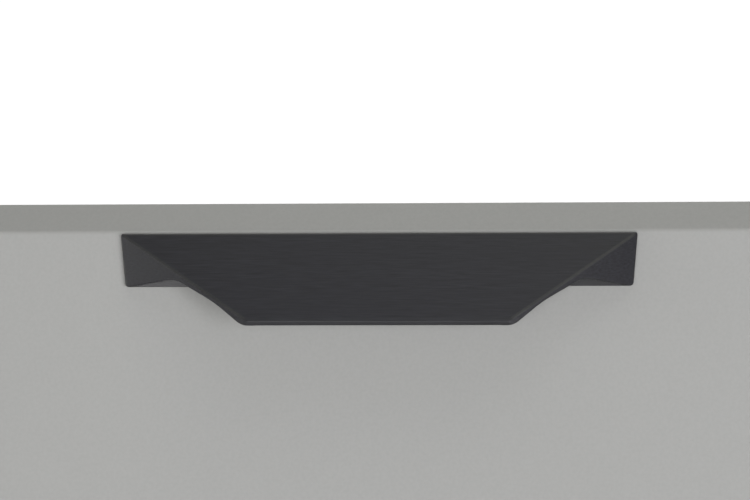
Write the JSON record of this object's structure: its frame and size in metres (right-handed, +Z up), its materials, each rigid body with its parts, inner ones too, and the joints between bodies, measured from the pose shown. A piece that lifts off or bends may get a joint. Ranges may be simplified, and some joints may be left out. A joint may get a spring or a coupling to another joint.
{
  "type": "dresser with drawers",
  "caption": "Free-standing dresser with full-overlay lacquered drawer fronts, each with a bevelled top edge and a folded wing pull, on ball-bearing runners.",
  "frame": {"origin": "on the floor, under the middle of the whole object's box at rest", "axes": "+X along the dresser's width, towards its right end seen from the front; -Y towards the user, out of the drawer fronts; +Z up"},
  "size_m": [1, 0.5, 0.85],
  "materials": {
    "lacquered_front": "light warm grey matte lacquer on MDF, fine-grained and almost even",
    "lacquered_board": "light warm grey matte lacquer on board",
    "backing_board": "painted hardboard",
    "drawer_board": "pale grey melamine-faced board with a faint linen texture",
    "anthracite_metal": "anthracite, finely brushed along its length, satin",
    "zinc_plate": "bright zinc plate",
    "black_plastic": "moulded, fine matte"
  },
  "bodies": {
    "carcass": {"side_panel_left": "lacquered_board", "side_panel_right": "lacquered_board", "top_panel": "lacquered_board", "bottom_panel": "lacquered_board", "back_panel": "backing_board", "plinth_rail_front": "lacquered_board", "plinth_rail_rear": "lacquered_board", "divider_rail_upper": "lacquered_board", "divider_rail_lower": "lacquered_board", "glide_front_left": "black_plastic", "glide_rear_left": "black_plastic", "glide_front_right": "black_plastic", "glide_rear_right": "black_plastic", "wall_bracket": "zinc_plate", "runner_cabinet_1_left": "zinc_plate", "runner_cabinet_1_right": "zinc_plate", "runner_cabinet_2_left": "zinc_plate", "runner_cabinet_2_right": "zinc_plate", "runner_cabinet_3_left": "zinc_plate", "runner_cabinet_3_right": "zinc_plate"},
    "drawer_1": {"drawer_front_1": "lacquered_front", "handle_1": "anthracite_metal", "drawer_bottom_1": "drawer_board", "drawer_back_1": "drawer_board", "drawer_brace_1": "drawer_board", "handle_screw_1_left": "zinc_plate", "drawer_side_1_left": "drawer_board", "runner_drawer_1_left": "zinc_plate", "handle_screw_1_right": "zinc_plate", "drawer_side_1_right": "drawer_board", "runner_drawer_1_right": "zinc_plate"},
    "runner_middle_1": {"runner_middle_1_left": "zinc_plate", "runner_middle_1_right": "zinc_plate"},
    "drawer_2": {"drawer_front_2": "lacquered_front", "handle_2": "anthracite_metal", "drawer_bottom_2": "drawer_board", "drawer_back_2": "drawer_board", "drawer_brace_2": "drawer_board", "handle_screw_2_left": "zinc_plate", "drawer_side_2_left": "drawer_board", "runner_drawer_2_left": "zinc_plate", "handle_screw_2_right": "zinc_plate", "drawer_side_2_right": "drawer_board", "runner_drawer_2_right": "zinc_plate"},
    "runner_middle_2": {"runner_middle_2_left": "zinc_plate", "runner_middle_2_right": "zinc_plate"},
    "drawer_3": {"drawer_front_3": "lacquered_front", "handle_3": "anthracite_metal", "drawer_bottom_3": "drawer_board", "drawer_back_3": "drawer_board", "drawer_brace_3": "drawer_board", "handle_screw_3_left": "zinc_plate", "drawer_side_3_left": "drawer_board", "runner_drawer_3_left": "zinc_plate", "handle_screw_3_right": "zinc_plate", "drawer_side_3_right": "drawer_board", "runner_drawer_3_right": "zinc_plate"},
    "runner_middle_3": {"runner_middle_3_left": "zinc_plate", "runner_middle_3_right": "zinc_plate"}
  },
  "joints": [
    {"name": "drawer_slide_1", "type": "slide", "parent": "carcass", "child": "drawer_1", "axis": [0, -1, 0], "range_m": [0, 0.4]},
    {"name": "runner_middle_slide_1", "type": "slide", "parent": "carcass", "child": "runner_middle_1", "axis": [0, -1, 0], "range_m": [0, 0.2]},
    {"name": "drawer_slide_2", "type": "slide", "parent": "carcass", "child": "drawer_2", "axis": [0, -1, 0], "range_m": [0, 0.4]},
    {"name": "runner_middle_slide_2", "type": "slide", "parent": "carcass", "child": "runner_middle_2", "axis": [0, -1, 0], "range_m": [0, 0.2]},
    {"name": "drawer_slide_3", "type": "slide", "parent": "carcass", "child": "drawer_3", "axis": [0, -1, 0], "range_m": [0, 0.4]},
    {"name": "runner_middle_slide_3", "type": "slide", "parent": "carcass", "child": "runner_middle_3", "axis": [0, -1, 0], "range_m": [0, 0.2]}
  ],
  "couplings": [
    {"joint": "runner_middle_slide_1", "follows": "drawer_slide_1", "ratio": 0.5},
    {"joint": "runner_middle_slide_2", "follows": "drawer_slide_2", "ratio": 0.5},
    {"joint": "runner_middle_slide_3", "follows": "drawer_slide_3", "ratio": 0.5}
  ]
}
